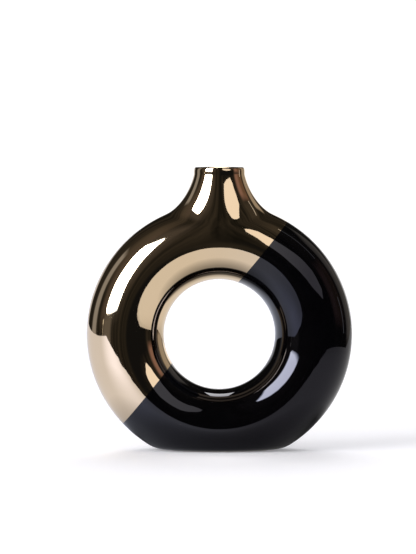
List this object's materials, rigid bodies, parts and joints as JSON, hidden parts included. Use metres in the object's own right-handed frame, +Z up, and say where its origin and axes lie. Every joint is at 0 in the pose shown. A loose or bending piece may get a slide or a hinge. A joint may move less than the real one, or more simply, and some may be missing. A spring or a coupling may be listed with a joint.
{
  "type": "vase",
  "caption": "Hollow ring-shaped ceramic bud vase with a narrow round neck on top, a hole through the middle and a flat foot.",
  "frame": {"origin": "on the table, under the middle of the ring: the middle of the foot's underside", "axes": "+Z up; the front faces -Y; +X to the right seen from the front; the ring lies in the XZ plane"},
  "size_m": [0.133, 0.04, 0.142],
  "materials": {
    "clay": "matte",
    "black_glaze": "gloss",
    "gold": "polished",
    "clear_glaze": "gloss"
  },
  "bodies": {
    "root": {"ceramic_body": "clay", "black_glaze": "black_glaze", "gold_plating": "gold", "inner_glaze": "clear_glaze"}
  },
  "joints": []
}
